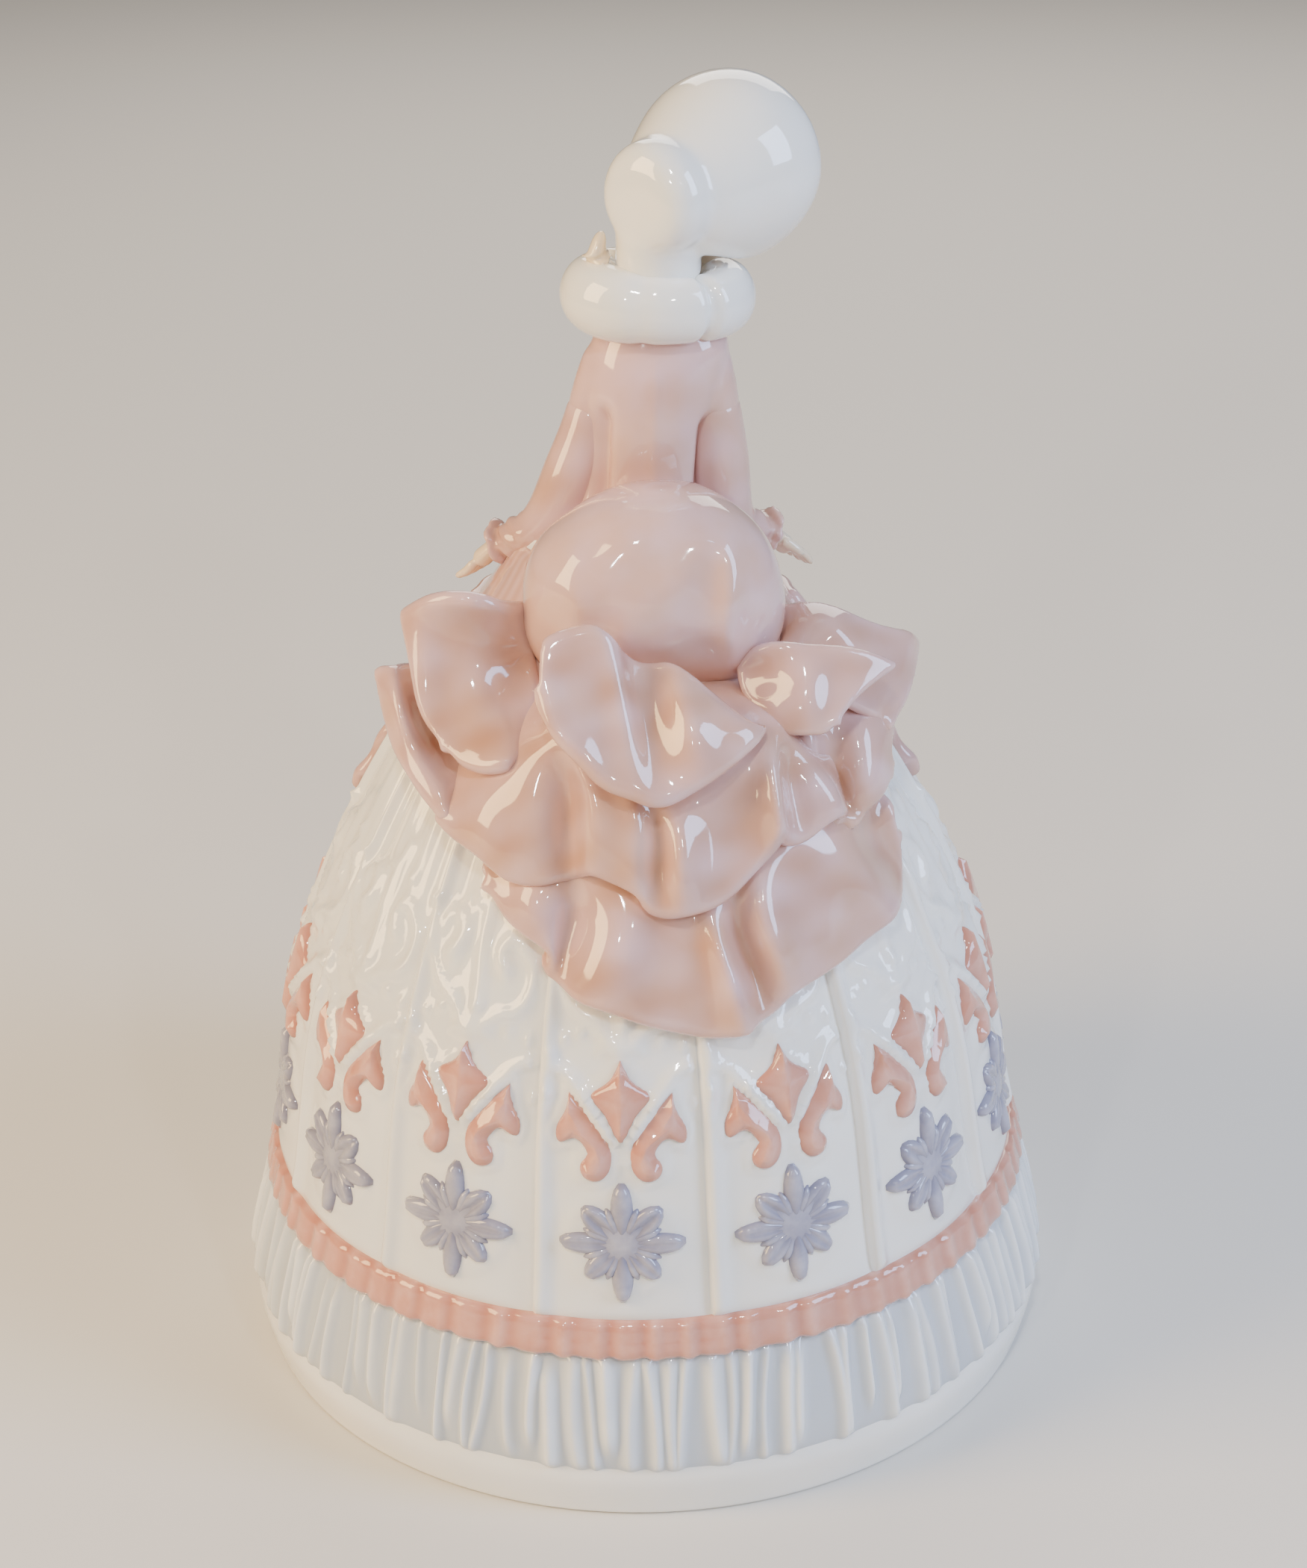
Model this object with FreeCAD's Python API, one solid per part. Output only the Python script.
"""Porcelain lady bell: a hollow gored skirt with a figure on top and a clapper inside.

Frame: millimetres, +Z up, origin at the centre of the skirt's resting rim.
The lady faces +Y, so the bustle at her back is on the -Y side.
An azimuth is an angle in degrees about Z, from -Y towards +X.
"""
import FreeCAD, Part
import math
import os

V = FreeCAD.Vector

# ---------------------------------------------------------------- driving dimensions
RIM_R = 52.0                # outer radius at the resting rim
WALL = 3.0                  # thickness of the skirt wall
CROWN_Z = 109.0             # top of the closed crown
CROWN_WALL = 4.0            # thickness of the crown
CROWN_R = 11.8              # radius of the crown's flat top
RIM_ROUND = 1.0             # rounding of both rim corners

GORES = 14                  # panels of the skirt
FIRST_GORE = -3.6           # azimuth of the middle of the first panel
GORE_STEP = 360.0 / GORES
GORE_RIB = 0.7              # how proud the rib between two panels stands
GORE_RIB_WIDTH = 2.6        # its width, degrees

FRILL_Z = (7.1, 22.6)       # gathered frill, bottom and top
FRILL_INSET = 1.2           # it lies in a recess this deep
FRILL_PROUD = 0.3
RIBBON_Z = (22.6, 26.6)     # ribbon above the frill
RIBBON_PROUD = 1.0
SPRIG_PROUD = 0.9           # applied flowers and fleur-de-lis
FLOWER_Z = 36.6
LOZENGE_Z = (49.7, 58.5)
LOZENGE_HALF = 3.6

CAP_Z = (84.0, 108.0)       # pink upper layer of the skirt
CAP_THICK = 1.4
FLOUNCE_THICK = 2.2
APRON_THICK = 1.8           # front swag of the overskirt
APRON_Z = (63.0, 99.0)      # its lowest point in front, and its top
APRON_SIDE_Z = 78.0         # its hem at the sides
APRON_REACH = 51.0          # from the sides to the front
APRON_SWEEP = 168.0         # degrees of the skirt that it covers

POUF = V(2.6, -15.6, 110.6)  # middle of the puff at the back of the waist
POUF_HALF = (15.0, 9.6, 10.6)
HEAD = V(8.6, 1.2, 151.0)   # middle of the head
GAZE = V(0.64, 0.77, 0.0)   # the way that the face looks
HEAD_HALF = (5.7, 6.3, 8.0)
HEAD_FORWARD = 1.6          # the head sits this far forward in the bonnet
BOW_KNOT = V(-1.6, -2.0, 140.4)
CRUMB = 0.1                 # a cut's loose bits under this share of the piece are dropped

HOLE_R = 1.05               # hole in the crown
PIN_R = 1.0                 # the split pin's shank turns in it
PIN_WIRE = 0.6              # wire radius of the pin's eye
EYE_R = 2.2                 # mean radius of the eye
EYE_Z = 101.4               # middle of the eye
LOOP_WIRE = 0.5             # wire radius of the clapper's loop
LOOP_R = 1.9                # mean radius of the loop
CLAPPER_R = 8.0             # porcelain ball
CLAPPER_Z = 24.0            # its middle

# Outer outline of the skirt wall, radius and height, from the rim to the crown.
SKIRT_OUTLINE = [
    (RIM_R, RIM_ROUND), (53.0, 6.2), (51.4, 15.6), (49.0, 24.0), (47.2, 32.0),
    (44.8, 46.8), (39.8, 62.4), (31.8, 78.0), (27.4, 85.5), (23.0, 92.5),
    (18.4, 99.0), (14.6, 104.4), (CROWN_R, CROWN_Z),
]


# ---------------------------------------------------------------- small helpers
def spline(points):
    """A smooth edge through the given vectors."""
    curve = Part.BSplineCurve()
    curve.interpolate(points)
    return curve.toShape()


def around(azimuth, radius, z):
    """A point from its azimuth, radius and height."""
    a = math.radians(azimuth)
    return V(radius * math.sin(a), -radius * math.cos(a), z)


def face_of(edges):
    return Part.Face(Part.Wire(Part.__sortEdges__(edges)))


def turned(shape, degrees):
    """A copy turned about Z, the positive way as an azimuth grows."""
    copy = shape.copy()
    copy.rotate(V(0, 0, 0), V(0, 0, 1), degrees)
    return copy


def ellipse_wire(centre, rx, ry):
    """A level ellipse."""
    if rx >= ry:
        shape = Part.Ellipse(V(0, 0, 0), rx, ry).toShape()
    else:
        shape = Part.Ellipse(V(0, 0, 0), ry, rx).toShape()
        shape.rotate(V(0, 0, 0), V(0, 0, 1), 90)
    shape.translate(centre)
    return Part.Wire(shape)


def loft(sections):
    """A solid through level ellipses, each (x, y, z, half width in x, half width in y)."""
    wires = [ellipse_wire(V(x, y, z), rx, ry) for x, y, z, rx, ry in sections]
    return Part.makeLoft(wires, True, False)


def ellipsoid(centre, rx, ry, rz, axis=None):
    """A scaled ball; axis is where its own +Y ends up, level."""
    scale = FreeCAD.Matrix()
    scale.scale(V(rx, ry, rz))
    ball = Part.makeSphere(1.0).transformGeometry(scale)
    if axis is not None:
        ball.rotate(V(0, 0, 0), V(0, 0, 1), math.degrees(math.atan2(-axis.x, axis.y)))
    ball.translate(centre)
    return ball


def tube(points, radii):
    """A round limb through the points, with its own radius at each of them."""
    wires = []
    for i, point in enumerate(points):
        before = points[max(i - 1, 0)]
        after = points[min(i + 1, len(points) - 1)]
        direction = after.sub(before).normalize()
        wires.append(Part.Wire(Part.Circle(point, direction, radii[i]).toShape()))
    return Part.makeLoft(wires, True, False)


def cut_to(shape, *others):
    """What is left of a shape beside the pieces that it joins, without crumbs."""
    for other in others:
        if shape.BoundBox.intersect(other.BoundBox):
            shape = shape.cut(other)
    return only_solids(shape)


def group(shapes):
    return Part.makeCompound(shapes)


def only_solids(shape):
    """The shape's solids, without the crumbs that a cut can leave."""
    largest = max(solid.Volume for solid in shape.Solids)
    kept = [solid for solid in shape.Solids if solid.Volume > CRUMB * largest]
    return kept[0] if len(kept) == 1 else group(kept)


# ---------------------------------------------------------------- skirt outline
def offset_outline(distance):
    """The skirt's outline moved outwards by a distance, as (radius, z) points."""
    edge = spline([V(r, 0, z) for r, z in SKIRT_OUTLINE])
    first, last = edge.ParameterRange
    moved = []
    for i in range(len(SKIRT_OUTLINE) + 4):
        at = first + (last - first) * i / (len(SKIRT_OUTLINE) + 3)
        point = edge.valueAt(at)
        along = edge.tangentAt(at)
        moved.append((point.x + distance * along.z, point.z - distance * along.x))
    return moved


def outline_edge(distance):
    if distance == 0:
        return spline([V(r, 0, z) for r, z in SKIRT_OUTLINE])
    return spline([V(r, 0, z) for r, z in offset_outline(distance)])


def revolve(edges, start=0.0, sweep=360.0):
    """A solid of revolution about Z; start is an azimuth."""
    face = face_of(edges)
    face.rotate(V(0, 0, 0), V(0, 0, 1), start - 90.0)
    return face.revolve(V(0, 0, 0), V(0, 0, 1), sweep)


def full_form(distance):
    """Everything within the skirt's outline moved outwards by a distance."""
    curve = outline_edge(distance)
    low, high = curve.Vertexes[0].Point, curve.Vertexes[1].Point
    if low.z > high.z:
        low, high = high, low
    return revolve([
        curve,
        Part.makeLine(high, V(0, 0, high.z)),
        Part.makeLine(V(0, 0, high.z), V(0, 0, low.z)),
        Part.makeLine(V(0, 0, low.z), low),
    ])


def slab(z_low, z_high):
    return Part.makeCylinder(RIM_R * 2, z_high - z_low, V(0, 0, z_low))


def layer(z_low, z_high, thick, inset=0.0):
    """A ring that lies on the skirt between two heights."""
    outside = full_form(thick).common(slab(z_low, z_high))
    return outside.cut(full_form(-inset))


def skirt_bell():
    """The bell: wall, closed crown with a hole, and a rib between neighbouring gores."""
    outer = outline_edge(0)
    inner_points = [p for p in offset_outline(-WALL) if 2.0 < p[1] < CROWN_Z - 9.0]
    inner_top = V(HOLE_R, 0, CROWN_Z - CROWN_WALL)
    rim_inner = RIM_R - WALL
    inner = spline(
        [V(rim_inner, 0, RIM_ROUND)]
        + [V(r, 0, z) for r, z in inner_points]
        + [V(10.4, 0, CROWN_Z - CROWN_WALL - 1.0), V(6.0, 0, CROWN_Z - CROWN_WALL)]
    )
    half = math.sqrt(0.5) * RIM_ROUND
    rim_out = Part.Arc(
        V(RIM_R, 0, RIM_ROUND),
        V(RIM_R - RIM_ROUND + half, 0, RIM_ROUND - half),
        V(RIM_R - RIM_ROUND, 0, 0),
    ).toShape()
    rim_in = Part.Arc(
        V(rim_inner, 0, RIM_ROUND),
        V(rim_inner + RIM_ROUND - half, 0, RIM_ROUND - half),
        V(rim_inner + RIM_ROUND, 0, 0),
    ).toShape()
    wall = revolve([
        outer,
        Part.makeLine(V(CROWN_R, 0, CROWN_Z), V(HOLE_R, 0, CROWN_Z)),
        Part.makeLine(V(HOLE_R, 0, CROWN_Z), inner_top),
        Part.makeLine(inner_top, V(6.0, 0, CROWN_Z - CROWN_WALL)),
        inner,
        rim_in,
        Part.makeLine(V(rim_inner + RIM_ROUND, 0, 0), V(RIM_R - RIM_ROUND, 0, 0)),
        rim_out,
    ])
    rib_ring = layer(RIBBON_Z[1], CAP_Z[0], GORE_RIB, inset=0.5)
    wedge = Part.makeCylinder(RIM_R * 2, CROWN_Z, V(0, 0, 0), V(0, 0, 1), GORE_RIB_WIDTH)
    ribs = []
    for k in range(GORES):
        azimuth = FIRST_GORE + (k + 0.5) * GORE_STEP
        ribs.append(rib_ring.common(turned(wedge, azimuth - 90.0 - GORE_RIB_WIDTH / 2)))
    return wall.multiFuse(ribs)


# ---------------------------------------------------------------- sprigs on the gores
def outline_prism(edges, inner_r, outer_r):
    """A flat outline in X and Z pushed along -Y, towards the outside of the skirt."""
    face = face_of(edges)
    face.translate(V(0, -inner_r, 0))
    return face.extrude(V(0, inner_r - outer_r, 0))


def petal(length, width, turn):
    """One pointed petal as a closed outline about the flower's middle."""
    tip = V(0, 0, length)
    root_left, root_right = V(-width * 0.3, 0, 0.8), V(width * 0.3, 0, 0.8)
    edges = [
        Part.Arc(root_left, V(-width / 2, 0, length * 0.6), tip).toShape(),
        Part.Arc(tip, V(width / 2, 0, length * 0.6), root_right).toShape(),
        Part.makeLine(root_right, root_left),
    ]
    for edge in edges:
        edge.rotate(V(0, 0, 0), V(0, 1, 0), turn)
        edge.translate(V(0, 0, FLOWER_Z))
    return edges


def flower():
    """Eight petals, the upright and level ones longer, round a button."""
    petals = []
    for k in range(8):
        length = 6.9 if k % 2 == 0 else 5.9
        petals.append(outline_prism(petal(length, 3.0, 45.0 * k), 35.0, 60.0))
    button = Part.makeCylinder(1.9, 25.0, V(0, -35.0, FLOWER_Z), V(0, -1, 0))
    return button.multiFuse(petals).removeSplitter()


def lozenge():
    """The upright diamond of the fleur-de-lis."""
    low, high = LOZENGE_Z
    middle = (low + high) / 2 + 0.3
    corners = [
        V(0, 0, low), V(LOZENGE_HALF, 0, middle), V(0, 0, high), V(-LOZENGE_HALF, 0, middle),
    ]
    edges = [Part.makeLine(corners[i], corners[(i + 1) % 4]) for i in range(4)]
    return outline_prism(edges, 30.0, 60.0)


def scroll(side):
    """A side leaf of the fleur-de-lis: point out and up, foot curling under the diamond."""
    outer_tip = V(7.4 * side, 0, 52.8)
    outer_foot = V(1.6 * side, 0, 44.0)
    inner_top = V(0.9 * side, 0, 48.8)
    edges = [
        Part.Arc(outer_tip, V(6.2 * side, 0, 47.0), outer_foot).toShape(),
        Part.Arc(outer_foot, V(0.7 * side, 0, 46.4), inner_top).toShape(),
        Part.Arc(inner_top, V(4.6 * side, 0, 50.2), outer_tip).toShape(),
    ]
    return outline_prism(edges, 30.0, 60.0)


def on_every_gore(prism, skin):
    """The part of a prism in the skin of the skirt, on each gore in turn."""
    sprig = prism.common(skin)
    return [
        turned(solid, FIRST_GORE + k * GORE_STEP) for k in range(GORES) for solid in sprig.Solids
    ]


# ---------------------------------------------------------------- flounces
def net_solid(rows, thick):
    """A curved sheet through rows of (azimuth, radius, z), thickened towards the skirt."""
    outside = [[around(*point) for point in row] for row in rows]
    inside = []
    for i, row in enumerate(outside):
        moved = []
        for j, point in enumerate(row):
            across = row[min(j + 1, len(row) - 1)].sub(row[max(j - 1, 0)])
            last = len(outside) - 1
            down = outside[min(i + 1, last)][j].sub(outside[max(i - 1, 0)][j])
            normal = across.cross(down).normalize()
            if normal.dot(V(point.x, point.y, 0)) > 0:
                normal = normal.negative()
            moved.append(point.add(normal.multiply(thick)))
        inside.append(moved)
    faces = []
    borders = []
    for net in (outside, inside):
        surface = Part.BSplineSurface()
        surface.interpolate(net)
        faces.append(surface.toShape())
        u0, u1, v0, v1 = surface.bounds()
        borders.append([
            surface.uIso(u0).toShape(), surface.uIso(u1).toShape(),
            surface.vIso(v0).toShape(), surface.vIso(v1).toShape(),
        ])
    for one, other in zip(borders[0], borders[1]):
        faces.append(Part.makeRuledSurface(one, other))
    shell = Part.makeShell(faces)
    shell.sewShape()
    solid = Part.makeSolid(Part.makeShell(shell.Faces))
    if solid.Volume < 0:
        solid.reverse()
    return solid


FLOUNCES = {
    "flounce_centre": [
        [(-25, 17, 103), (-12, 17, 104.5), (1, 17, 104), (14, 17, 102), (28, 18, 100)],
        [(-23, 27, 101.5), (-11, 30, 100.5), (2, 31, 98.5), (15, 30, 97), (29, 29, 97)],
        [(-21, 32.5, 98), (-8, 36, 93), (5, 37.5, 90.3), (16, 36, 91.5), (31, 34, 94.5)],
    ],
    "flounce_right_upper": [
        [(46, 15, 105), (52, 18.5, 99), (55, 23.5, 91)],
        [(63, 24, 103), (63, 27, 98), (62, 30, 91)],
        [(78, 36, 97.5), (73, 35.5, 93.5), (68, 34.5, 89.5)],
    ],
    "flounce_right_inner": [
        [(28, 17, 102), (30, 21, 97), (34, 25, 92)],
        [(44, 26, 101), (42, 28, 97), (40, 31, 92)],
        [(58, 34, 97), (51, 34.5, 94), (43, 34.5, 91.5)],
    ],
    "flounce_left_upper": [
        [(-40, 15, 104.5), (-38, 19, 99), (-38, 24, 93), (-40, 27, 89)],
        [(-55, 23, 104.5), (-49, 26, 99), (-44, 29, 93), (-42, 31, 88.5)],
        [(-69, 31.5, 103.5), (-62, 32.5, 98), (-54, 32.5, 92.5), (-46, 33, 88.5)],
    ],
    "flounce_left_outer": [
        [(-56, 18, 98), (-52, 22, 91), (-44, 27, 85)],
        [(-66, 26, 97), (-59, 29, 91), (-46, 32, 84.5)],
        [(-74, 34, 95), (-65, 35, 89.5), (-47, 35.5, 83.3)],
    ],
    "flounce_right_lobe": [
        [(38, 21, 94), (48, 21, 95), (60, 21, 94), (68, 22, 93)],
        [(38, 32, 89), (47, 31.5, 90), (57, 32.5, 89), (67, 30, 89)],
        [(39, 36, 84), (47, 36.5, 83), (56, 37, 81.5), (65, 36, 85)],
    ],
    "flounce_middle": [
        [(-46, 21, 96), (-34, 21, 96), (-22, 21, 96), (-8, 21, 96), (5, 21, 95), (18, 21, 95),
         (30, 21, 95), (42, 21, 95)],
        [(-45, 31, 90), (-33, 32, 89), (-20, 31, 88), (-7, 33.5, 88), (5, 35, 86),
         (18, 35, 87), (29, 34, 89), (41, 32, 90)],
        [(-44, 35.5, 83.5), (-32, 37, 80), (-19, 36.3, 79.5), (-8, 38, 80), (4.5, 39.5, 75.8),
         (19, 39.3, 79.5), (28, 38.5, 83.5), (41, 37, 84)],
    ],
    "flounce_bottom": [
        [(-33, 25, 90), (-22, 25, 90), (-10, 25, 90), (3, 25, 90), (16, 25, 90), (30, 25, 90),
         (45, 25, 90), (58, 24, 91)],
        [(-33, 33.5, 83), (-22, 34, 82), (-11, 36, 79), (2, 37, 77), (16, 37.5, 76),
         (30, 37, 78), (46, 36.5, 79), (59, 34, 82)],
        [(-31, 36, 78.5), (-23, 38.5, 74), (-11, 41, 68), (0, 42.5, 65), (16, 43.8, 62.7),
         (31, 42, 66.5), (48, 40, 69.6), (60, 37.5, 76)],
    ],
}


def apron_front():
    """The front of the overskirt: a swag that hangs lowest in the middle."""
    skin = layer(APRON_Z[0], APRON_Z[1], CAP_THICK + APRON_THICK)
    above_hem = Part.makeBox(160, 160, 80, V(-80, -80, 0))
    hem_middle = (APRON_Z[0] + APRON_SIDE_Z) / 2
    tilt = math.degrees(math.atan2(APRON_SIDE_Z - APRON_Z[0], APRON_REACH))
    above_hem.rotate(V(0, 0, 0), V(1, 0, 0), -tilt)
    above_hem.translate(V(0, APRON_REACH / 2 - 8.0, hem_middle))
    front = Part.makeCylinder(RIM_R * 2, CAP_Z[1], V(0, 0, 0), V(0, 0, 1), APRON_SWEEP)
    front.rotate(V(0, 0, 0), V(0, 0, 1), 90.0 - APRON_SWEEP / 2)
    return skin.common(above_hem).common(front)


# ---------------------------------------------------------------- figure
def bodice():
    """Hollow body of the dress; the cavity gives the split pin's legs room to turn."""
    body = loft([
        (0.6, 0.0, CROWN_Z, 10.4, 9.6), (1.2, 0.0, 113.0, 8.7, 8.1),
        (1.9, -0.2, 119.0, 7.8, 7.2), (2.6, -0.2, 126.0, 7.9, 6.9),
        (3.4, 0.0, 131.5, 7.6, 6.0), (4.0, 0.2, 136.5, 4.6, 4.2),
    ])
    cavity = loft([
        (0.0, 0.0, CROWN_Z, 6.0, 6.0), (0.3, 0.0, 114.0, 5.5, 5.3),
        (1.8, 0.0, 123.0, 3.8, 3.6),
    ])
    return body.cut(cavity)


def sleeve_path(side):
    """Middle line of an arm: shoulder, upper arm, elbow, forearm, cuff."""
    if side < 0:
        return [V(-2.4, 0, 131.0), V(-4.8, -0.5, 123.0), V(-7.6, -1.2, 114.5),
                V(-10.6, -0.8, 109.2), V(-16.0, 1.8, 106.6)]
    return [V(9.0, 0, 130.5), V(9.6, -0.4, 123.0), V(10.6, -0.6, 114.5),
            V(12.2, 0.4, 109.4), V(16.6, 3.2, 106.8)]


def sleeve(side):
    return tube(sleeve_path(side), [3.1, 3.3, 3.5, 3.3, 2.5])


def hand(side):
    """A hand lying on the overskirt: palm with four fingers and a thumb."""
    wrist = sleeve_path(side)[-1]
    outward = V(0.62 * side, 0.32, -0.66).normalize()
    across = V(-0.5, 0.62 * side, 0).normalize()
    pieces = [tube([wrist, wrist + outward * 2.6, wrist + outward * 4.2], [1.7, 2.2, 1.9])]
    for finger in range(4):
        start = wrist + outward * 3.4 + across * (1.05 * (finger - 1.5))
        reach = 4.2 - 0.5 * abs(finger - 1.4)
        pieces.append(tube([start, start + outward * reach], [0.75, 0.55]))
    thumb = wrist + outward * 1.8 - across * 1.6
    pieces.append(tube([thumb, thumb + outward * 2.2 - across * 1.2], [0.8, 0.6]))
    return pieces[0].multiFuse(pieces[1:])


def collar_roll():
    """A thick soft roll round the shoulders, a little lower on the right."""
    squash = FreeCAD.Matrix()
    squash.scale(V(1.0, 0.82, 1.2))
    ring = Part.makeTorus(7.9, 3.1).transformGeometry(squash)
    ring.rotate(V(0, 0, 0), V(0, 1, 0), 4.0)
    ring.translate(V(3.9, 0.0, 137.2))
    return ring


def hair():
    """Hair about the head, open at the face."""
    mass = ellipsoid(HEAD + GAZE * 0.7 + V(0, 0, 0.3), 6.6, 6.9, 8.5, GAZE)
    face_side = Part.makeBox(30, 30, 30, V(-15, 2.4, -22.5))
    face_side.rotate(V(0, 0, 0), V(0, 0, 1), math.degrees(math.atan2(-GAZE.x, GAZE.y)))
    face_side.translate(HEAD)
    return mass.cut(face_side)


def bonnet_ring(points, wall, start, sweep):
    """A turned wall about the line of the gaze through the head, from (radius, along)."""
    outer = spline([V(r, 0, s) for r, s in points])
    inner = spline([V(r - wall, 0, s) for r, s in points])
    first, last = points[0], points[-1]
    face = face_of([
        outer,
        Part.makeLine(V(last[0], 0, last[1]), V(last[0] - wall, 0, last[1])),
        inner,
        Part.makeLine(V(first[0] - wall, 0, first[1]), V(first[0], 0, first[1])),
    ])
    face.rotate(V(0, 0, 0), V(0, 0, 1), start)
    return face.revolve(V(0, 0, 0), V(0, 0, 1), sweep)


def along_gaze(shape):
    """Lays a shape built about Z along the line of the gaze, its own +X pointing down."""
    shape.rotate(V(0, 0, 0), V(0, 1, 0), 90)
    shape.rotate(V(0, 0, 0), V(0, 0, 1), math.degrees(math.atan2(GAZE.y, GAZE.x)))
    shape.translate(HEAD)
    return shape


def bonnet_brim():
    """Deep flared brim, open under the chin."""
    outline = [(6.4, -5.2), (9.0, -2.4), (10.6, 1.6), (11.4, 5.6), (12.4, 9.4)]
    return along_gaze(bonnet_ring(outline, 1.5, 38.0, 284.0))


def bonnet_crown():
    """Short round crown with a flat closed end."""
    drum = Part.makeCylinder(6.2, 4.6, V(0, 0, -9.8))
    drum = drum.makeFillet(1.6, [drum.Edges[2]] if drum.Edges[2].Length > 30 else [drum.Edges[0]])
    hollow = Part.makeCylinder(4.7, 3.2, V(0, 0, -8.2))
    return along_gaze(drum.cut(hollow))


def bow_loop(tip, spread):
    """One flattened loop of ribbon from the knot to its tip."""
    middle = (BOW_KNOT + tip) * 0.5 + spread
    return tube([BOW_KNOT, middle, tip], [0.9, 1.9, 0.7])


def ribbon_bow():
    knot = Part.makeSphere(1.5, BOW_KNOT)
    upper = bow_loop(V(-4.8, -2.4, 146.8), V(-0.8, -0.3, -0.4))
    lower = bow_loop(V(-7.4, -2.2, 141.6), V(0.0, -0.4, 0.5))
    return knot.multiFuse([upper, lower])


# ---------------------------------------------------------------- ringing gear
def split_pin():
    """Eye below the crown, round shank through it, sprung legs opened above it."""
    eye = Part.makeTorus(EYE_R, PIN_WIRE, V(0, 0, EYE_Z), V(0, 1, 0))
    shank_low = EYE_Z + EYE_R
    shank = Part.makeCylinder(PIN_R, CROWN_Z + 0.6 - shank_low, V(0, 0, shank_low))
    legs = []
    for side in (-1, 1):
        foot = V(0.45 * side, 0, CROWN_Z + 0.4)
        bend = V(1.6 * side, 0, CROWN_Z + 1.6)
        end = V(3.6 * side, 0, CROWN_Z + 5.4)
        legs.append(tube([foot, bend, end], [0.5, 0.55, 0.45]))
    return shank.multiFuse([eye] + legs)


def loop_middle():
    """Height of the middle of the clapper's loop, hanging on the bottom of the eye."""
    eye_bottom = EYE_Z - EYE_R
    return eye_bottom + PIN_WIRE + 0.08 + LOOP_WIRE - LOOP_R


def clapper_wire():
    """Loop, straight shank through the ball, and the headed end that holds the ball up."""
    loop = Part.makeTorus(LOOP_R, LOOP_WIRE, V(0, 0, loop_middle()), V(1, 0, 0))
    top = loop_middle() - LOOP_R
    low = CLAPPER_Z - CLAPPER_R - 1.0
    shank = Part.makeCylinder(0.75, top - low, V(0, 0, low))
    head = Part.makeSphere(1.5, V(0, 0, low))
    return shank.multiFuse([loop, head])


def clapper_ball(wire):
    """Porcelain ball with the wire's bore, resting on the wire's headed end."""
    ball = Part.makeSphere(CLAPPER_R, V(0, 0, CLAPPER_Z))
    bore = Part.makeCylinder(0.75, CLAPPER_R * 3, V(0, 0, CLAPPER_Z - CLAPPER_R * 1.5))
    return ball.cut(bore).cut(wire)


# ---------------------------------------------------------------- all the nodes
def build():
    nodes = {}
    skin = full_form(SPRIG_PROUD).cut(full_form(0))
    frill = layer(FRILL_Z[0], FRILL_Z[1], FRILL_PROUD, inset=FRILL_INSET)
    nodes["skirt_bell"] = skirt_bell().cut(frill)
    nodes["hem_frill"] = frill
    nodes["hem_ribbon"] = layer(RIBBON_Z[0], RIBBON_Z[1], RIBBON_PROUD)
    nodes["star_flowers"] = group(on_every_gore(flower(), skin))
    nodes["fleur_lozenges"] = group(on_every_gore(lozenge(), skin))
    nodes["fleur_scrolls"] = group(
        on_every_gore(scroll(-1), skin) + on_every_gore(scroll(1), skin)
    )
    nodes["overskirt_cap"] = layer(CAP_Z[0], CAP_Z[1], CAP_THICK)

    # The rest is luted on from the middle outwards: each piece is cut to what it joins.
    cap_form = full_form(CAP_THICK)
    nodes["apron_front"] = cut_to(apron_front(), nodes["overskirt_cap"], nodes["skirt_bell"])
    body = bodice()
    nodes["bodice"] = body
    pouf = ellipsoid(POUF, *POUF_HALF)
    nodes["bustle_pouf"] = cut_to(pouf, cap_form, body)
    laid = [nodes["bustle_pouf"]]
    for name, rows in FLOUNCES.items():
        nodes[name] = cut_to(net_solid(rows, FLOUNCE_THICK), cap_form, *laid)
        laid.append(nodes[name])
    for side, hand_of in ((-1, "left"), (1, "right")):
        arm = cut_to(sleeve(side), cap_form, body)
        nodes["sleeve_" + hand_of] = arm
        nodes["hand_" + hand_of] = cut_to(hand(side), cap_form, arm)
    nodes["collar_roll"] = cut_to(
        collar_roll(), body, nodes["sleeve_left"], nodes["sleeve_right"])
    nodes["bonnet_brim"] = bonnet_brim()
    nodes["bonnet_crown"] = bonnet_crown()
    bonnet = [nodes["bonnet_brim"], nodes["bonnet_crown"]]
    nodes["head"] = ellipsoid(HEAD + GAZE * HEAD_FORWARD, *HEAD_HALF, axis=GAZE)
    nodes["hair"] = cut_to(hair(), nodes["head"], *bonnet)
    neck = tube([V(4.2, 0.2, 136.5), V(5.4, 0.4, 140.0), V(7.2, 0.8, 145.0)], [3.6, 3.1, 3.3])
    nodes["neck"] = cut_to(neck, body, nodes["head"], nodes["hair"], *bonnet)
    nodes["ribbon_bow"] = cut_to(ribbon_bow(), nodes["collar_roll"], nodes["neck"])

    nodes["split_pin"] = split_pin()
    wire = clapper_wire()
    nodes["clapper_wire"] = wire
    nodes["clapper_ball"] = clapper_ball(wire)
    return nodes


os.makedirs("parts", exist_ok=True)
for node_name, node_shape in build().items():
    node_shape.exportStep("parts/" + node_name + ".step")
    box = node_shape.BoundBox
    print("%-22s solids %2d valid %s volume %9.1f  x %6.1f %6.1f  y %6.1f %6.1f  z %6.1f %6.1f" % (
        node_name, len(node_shape.Solids), node_shape.isValid(), node_shape.Volume,
        box.XMin, box.XMax, box.YMin, box.YMax, box.ZMin, box.ZMax))
